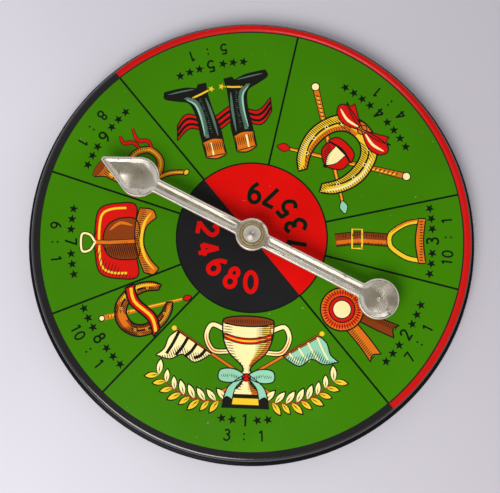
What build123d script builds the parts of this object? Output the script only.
"""A round tinplate spinner game: a printed dial pan with a free-spinning metal pointer.

The origin is the middle of the ring that the pan stands on, +Z points up through the
pivot, and +Y is the top of the dial. All sizes are millimetres. The pan is one tinplate
pressing with a rounded shoulder and a rolled foot. A shouldered spindle is bolted
through its middle and carries the pointer between brass washers, under a domed cap.
"""

import os
from math import cos, radians

from build123d import *

# ---------------------------------------------------------------- the dial pan
tin_sheet = 0.35  # tinplate thickness
dial_height = 9.6  # top of the dial above the table
face_radius = 106.0  # flat part of the dial
shoulder_round = 1.6  # outside radius where the face turns down into the wall
cove_round = 1.8  # sweep from the wall out to the rolled foot, at mid sheet
foot_round = 1.1  # outside radius of the rolled foot
foot_flat = 1.5  # width of the foot's flat underside, where it meets the table

# ---------------------------------------------------- the plate under the dial
plate_sheet = 0.8
plate_radius = 30.0
plate_flange = 2.2  # height of the turned-down rim, sheet included
plate_bend = 1.6  # outside radius of that rim's bend

# ------------------------------------------------------------------ the spindle
shaft_radius = 2.0  # journal that the pointer turns on
spindle_flange_radius = 3.2
spindle_flange = 1.0  # thickness of the flange that seats on the dial
lower_thread_radius = 1.5
upper_thread_radius = 1.4
thread_clearance = 0.02  # all round, in a nut, cap or washer
thread_run_out = 0.8  # thread left showing under the nut
end_chamfer = 0.3

# -------------------------------------------------------- what is on the spindle
pillar_height = 8.6
pillar_radius = 4.0
pillar_foot_radius = 6.2
pillar_foot = 0.9  # thickness of the pillar's foot
pillar_foot_bevel = 0.3
pillar_clearance = 0.05  # round the spindle and over its flange
lower_washer_radius = 5.4
lower_washer_thickness = 0.4
end_float = 0.08  # axial play of the pointer, below the bush and again above it
running_clearance = 0.04  # bush on journal, all round
upper_washer_radius = 6.4
upper_washer_thickness = 0.45
upper_washer_bevel = 0.2
cup_washer_radius = 5.3
cup_washer_thickness = 0.5
cup_washer_bevel = 0.25
cap_radius = 4.15
cap_band = 0.5  # upright edge of the cap, below its dome
cap_dome = 1.7  # height of the dome itself
cap_thread_depth = 1.3
cap_thread_relief = 0.1  # hole left beyond the thread's end

# ------------------------------------------------------- the bush in the pointer
bush_radius = 3.4
bush_flange_radius = 5.6
bush_flange = 0.8
bush_lip_radius = 3.9  # lip spun over the pointer's top
bush_lip = 0.25
bush_seat_clearance = 0.02  # bush in the pointer's hole, all round

# ------------------------------------------------------------------- the pointer
rest_angle = 153.3  # degrees from +X, where the pointer stands at rest
pointer_sheet = 0.6
pointer_depth = 2.4  # height of the pressing, sheet included
edge_round = 1.0  # outside radius of its turned-down edge
arm_width = 7.2
boss_radius = 8.0
head_radius = 9.9
head_reach = 61.0  # pivot to the middle of the head's round end
tip_reach = 81.5  # pivot to the point
tip_round = 1.5
tail_radius = 9.9
tail_reach = 67.5  # pivot to the middle of the tail disc
neck_fillet = 1.3  # where the arm meets the boss, head and tail
rim_width = 1.2  # raised border left round the channel in its top
channel_depth = 0.5
channel_slope = 72.5  # degrees from upright
dimple_radius = 0.9
dimple_depth = 0.2
dimple_slope = 70.0  # degrees from upright

# ----------------------------------------------------- the fasteners underneath
lock_washer_radius = 3.1
lock_washer_thickness = 0.7
lock_washer_gap = 0.6
lock_washer_clearance = 0.1  # round the thread
nut_across_flats = 5.5
nut_thickness = 2.3
nut_bevel = 0.35

# ------------------------------------------------------------------ stack heights
dial_underside = dial_height - tin_sheet
plate_underside = dial_underside - plate_sheet
lock_washer_underside = plate_underside - lock_washer_thickness
nut_underside = lock_washer_underside - nut_thickness
spindle_bottom = nut_underside - thread_run_out
pillar_top = dial_height + pillar_height
lower_washer_top = pillar_top + lower_washer_thickness
bush_bottom = lower_washer_top + end_float
web_bottom = bush_bottom + bush_flange
web_top = web_bottom + pointer_sheet
skirt_bottom = web_top - pointer_depth
bush_top = web_top + bush_lip
journal_top = bush_top + end_float
upper_washer_top = journal_top + upper_washer_thickness
cup_washer_top = upper_washer_top + cup_washer_thickness
spindle_top = cup_washer_top + cap_thread_depth


def pointer_plane(height):
    """The pointer's own plane: its X runs from the pivot to the point."""
    return Plane.XY.offset(height).rotated((0, 0, rest_angle))


def widest_top_edge(turned):
    """The upper edge of a turned piece's largest diameter."""
    circles = turned.edges().filter_by(GeomType.CIRCLE)
    return circles.group_by(SortBy.RADIUS)[-1].sort_by(Axis.Z)[-1]


# The pan's sheet follows one line in section: face, shoulder, wall, cove, rolled foot.
mid = tin_sheet / 2
wall_line = face_radius + shoulder_round - mid
cove_bottom = 2 * foot_round - mid
foot_line = foot_round - mid
foot_centre = wall_line + cove_round

with BuildPart() as dial_pan:
    with BuildSketch(Plane.XZ):
        with BuildLine():
            Line(
                (lower_thread_radius + thread_clearance, dial_height - mid),
                (face_radius, dial_height - mid),
            )
            CenterArc(
                (face_radius, dial_height - shoulder_round), shoulder_round - mid, 0, 90
            )
            Line(
                (wall_line, dial_height - shoulder_round),
                (wall_line, cove_bottom + cove_round),
            )
            CenterArc((foot_centre, cove_bottom + cove_round), cove_round, 180, 90)
            CenterArc((foot_centre, foot_round), foot_line, -90, 180)
            Line((foot_centre, mid), (foot_centre - foot_flat, mid))
        trace(line_width=tin_sheet)
    revolve(axis=Axis.Z)

dial_pan.part.label = "dial_pan"

# The stiffening plate is a shallow pressing, its rim turned down and away from the dial.
plate_mid = plate_sheet / 2
plate_bend_line = plate_bend - plate_mid

with BuildPart() as stiffener_plate:
    with BuildSketch(Plane.XZ):
        with BuildLine():
            Line(
                (lower_thread_radius + thread_clearance, dial_underside - plate_mid),
                (plate_radius - plate_bend, dial_underside - plate_mid),
            )
            CenterArc(
                (plate_radius - plate_bend, dial_underside - plate_bend), plate_bend_line, 0, 90
            )
            Line(
                (plate_radius - plate_mid, dial_underside - plate_bend),
                (plate_radius - plate_mid, dial_underside - plate_flange),
            )
        trace(line_width=plate_sheet)
    revolve(axis=Axis.Z)

stiffener_plate.part.label = "stiffener_plate"

# The spindle's flange stands on the dial; its lower thread goes through dial and plate.
with BuildPart() as spindle:
    with BuildSketch(Plane.XY.offset(spindle_bottom)):
        Circle(lower_thread_radius)
    extrude(amount=dial_height - spindle_bottom)
    with BuildSketch(Plane.XY.offset(dial_height)):
        Circle(spindle_flange_radius)
    extrude(amount=spindle_flange)
    with BuildSketch(Plane.XY.offset(dial_height + spindle_flange)):
        Circle(shaft_radius)
    extrude(amount=journal_top - dial_height - spindle_flange)
    with BuildSketch(Plane.XY.offset(journal_top)):
        Circle(upper_thread_radius)
    extrude(amount=spindle_top - journal_top)
    ends = spindle.edges().filter_by(GeomType.CIRCLE).sort_by(Axis.Z)
    chamfer([ends[0], ends[-1]], end_chamfer)

spindle.part.label = "spindle"

# The pillar slips over the spindle and its flange, and stands on the dial.
with BuildPart() as pillar:
    with BuildSketch(Plane.XY.offset(dial_height)):
        Circle(pillar_foot_radius)
    extrude(amount=pillar_foot)
    with BuildSketch(Plane.XY.offset(dial_height)):
        Circle(pillar_radius)
    extrude(amount=pillar_height)
    chamfer(widest_top_edge(pillar), pillar_foot_bevel)
    with BuildSketch(Plane.XY.offset(dial_height)):
        Circle(shaft_radius + pillar_clearance)
    extrude(amount=pillar_height, mode=Mode.SUBTRACT)
    with BuildSketch(Plane.XY.offset(dial_height)):
        Circle(spindle_flange_radius + pillar_clearance)
    extrude(amount=spindle_flange + pillar_clearance, mode=Mode.SUBTRACT)

pillar.part.label = "pillar"

with BuildPart() as lower_washer:
    with BuildSketch(Plane.XY.offset(pillar_top)):
        Circle(lower_washer_radius)
        Circle(shaft_radius + pillar_clearance, mode=Mode.SUBTRACT)
    extrude(amount=lower_washer_thickness)

lower_washer.part.label = "lower_washer"

# The bush is the pointer's bearing. Its flange is under the web, its lip spun over it.
with BuildPart() as pointer_bush:
    with BuildSketch(Plane.XY.offset(bush_bottom)):
        Circle(bush_flange_radius)
    extrude(amount=bush_flange)
    with BuildSketch(Plane.XY.offset(web_bottom)):
        Circle(bush_radius)
    extrude(amount=pointer_sheet)
    with BuildSketch(Plane.XY.offset(web_top)):
        Circle(bush_lip_radius)
    extrude(amount=bush_lip)
    with BuildSketch(Plane.XY.offset(bush_bottom)):
        Circle(shaft_radius + running_clearance)
    extrude(amount=bush_top - bush_bottom, mode=Mode.SUBTRACT)

pointer_bush.part.label = "pointer_bush"

# The head is a teardrop: a round end and a small round point, with straight sides between.
with BuildSketch() as head_shape:
    with Locations((head_reach, 0)):
        Circle(head_radius)
    with Locations((tip_reach - tip_round, 0)):
        Circle(tip_round)
    make_hull()

with BuildSketch() as tail_shape:
    with Locations((-tail_reach, 0)):
        Circle(tail_radius)

with BuildSketch() as pointer_outline:
    with Locations(((head_reach - tail_reach) / 2, 0)):
        Rectangle(head_reach + tail_reach, arm_width)
    Circle(boss_radius)
    add(head_shape.sketch)
    add(tail_shape.sketch)
    arm_corners = [
        corner
        for corner in pointer_outline.vertices()
        if abs(abs(corner.Y) - arm_width / 2) < arm_width / 1000
    ]
    fillet(arm_corners, neck_fillet)


def pointer_skin(inset, top, rounding):
    """One skin of the pressing: the outline less an inset, rounded over and channelled."""
    with BuildPart() as skin:
        with BuildSketch(pointer_plane(skirt_bottom)):
            add(pointer_outline.sketch)
            if inset:
                offset(amount=-inset)
        extrude(amount=top - skirt_bottom)
        fillet(skin.faces().sort_by(Axis.Z)[-1].edges(), rounding)
        with BuildSketch(pointer_plane(top)):
            add(pointer_outline.sketch)
            offset(amount=-rim_width)
            Circle(boss_radius, mode=Mode.SUBTRACT)
        extrude(amount=-channel_depth, taper=channel_slope, mode=Mode.SUBTRACT)
    return skin.part


# The pointer is one pressing: the outer skin, less the same shape one sheet further in.
with BuildPart() as pointer:
    add(pointer_skin(0, web_top, edge_round))
    add(
        pointer_skin(pointer_sheet, web_bottom, edge_round - pointer_sheet),
        mode=Mode.SUBTRACT,
    )
    with BuildSketch(pointer_plane(web_bottom)):
        Circle(bush_radius + bush_seat_clearance)
    extrude(amount=pointer_sheet, mode=Mode.SUBTRACT)
    with BuildSketch(pointer_plane(web_top - channel_depth)):
        with Locations((-tail_reach, 0)):
            Circle(dimple_radius)
    extrude(amount=-dimple_depth, taper=dimple_slope, mode=Mode.SUBTRACT)

pointer.part.label = "pointer"

# Two brass washers sit on the journal's shoulder, clear of the bush below them.
with BuildPart() as upper_washer:
    with BuildSketch(Plane.XY.offset(journal_top)):
        Circle(upper_washer_radius)
        Circle(upper_thread_radius + thread_clearance, mode=Mode.SUBTRACT)
    extrude(amount=upper_washer_thickness)
    chamfer(widest_top_edge(upper_washer), upper_washer_bevel)

upper_washer.part.label = "upper_washer"

with BuildPart() as cup_washer:
    with BuildSketch(Plane.XY.offset(upper_washer_top)):
        Circle(cup_washer_radius)
        Circle(upper_thread_radius + thread_clearance, mode=Mode.SUBTRACT)
    extrude(amount=cup_washer_thickness)
    chamfer(widest_top_edge(cup_washer), cup_washer_bevel)

cup_washer.part.label = "cup_washer"

# The domed cap screws onto the spindle and clamps both washers to its shoulder.
with BuildPart() as cap_nut:
    with BuildSketch(Plane.XZ):
        with BuildLine():
            dome_edge = (cap_radius, cup_washer_top + cap_band)
            dome_crown = (0, cup_washer_top + cap_band + cap_dome)
            Polyline(dome_crown, (0, cup_washer_top), (cap_radius, cup_washer_top), dome_edge)
            dome_sphere = (cap_radius**2 + cap_dome**2) / (2 * cap_dome)
            RadiusArc(dome_edge, dome_crown, -dome_sphere)
        make_face()
    revolve(axis=Axis.Z)
    with BuildSketch(Plane.XY.offset(cup_washer_top)):
        Circle(upper_thread_radius + thread_clearance)
    extrude(amount=cap_thread_depth + cap_thread_relief, mode=Mode.SUBTRACT)

cap_nut.part.label = "cap_nut"

# Underneath, a split washer and a nut draw the spindle's flange down onto the dial.
with BuildPart() as lock_washer:
    with BuildSketch(Plane.XY.offset(lock_washer_underside)):
        Circle(lock_washer_radius)
        Circle(lower_thread_radius + lock_washer_clearance, mode=Mode.SUBTRACT)
        with Locations((lock_washer_radius / 2, 0)):
            Rectangle(lock_washer_radius, lock_washer_gap, mode=Mode.SUBTRACT)
    extrude(amount=lock_washer_thickness)

lock_washer.part.label = "lock_washer"

with BuildPart() as spindle_nut:
    with BuildSketch(Plane.XY.offset(nut_underside)):
        RegularPolygon(nut_across_flats / 2, 6, major_radius=False)
    extrude(amount=nut_thickness)
    with BuildSketch(Plane.XZ):
        with BuildLine():
            nut_corner = nut_across_flats / 2 / cos(radians(30))
            Polyline(
                (nut_across_flats / 2, nut_underside),
                (nut_corner + nut_bevel, nut_underside),
                (nut_corner + nut_bevel, nut_underside + nut_bevel),
                (nut_across_flats / 2, nut_underside),
            )
        make_face()
    revolve(axis=Axis.Z, mode=Mode.SUBTRACT)
    with BuildSketch(Plane.XY.offset(nut_underside)):
        Circle(lower_thread_radius + thread_clearance)
    extrude(amount=nut_thickness, mode=Mode.SUBTRACT)

spindle_nut.part.label = "spindle_nut"

os.makedirs("parts", exist_ok=True)
for piece in (
    dial_pan,
    stiffener_plate,
    spindle,
    pillar,
    lower_washer,
    pointer_bush,
    pointer,
    upper_washer,
    cup_washer,
    cap_nut,
    lock_washer,
    spindle_nut,
):
    export_step(piece.part, f"parts/{piece.part.label}.step")
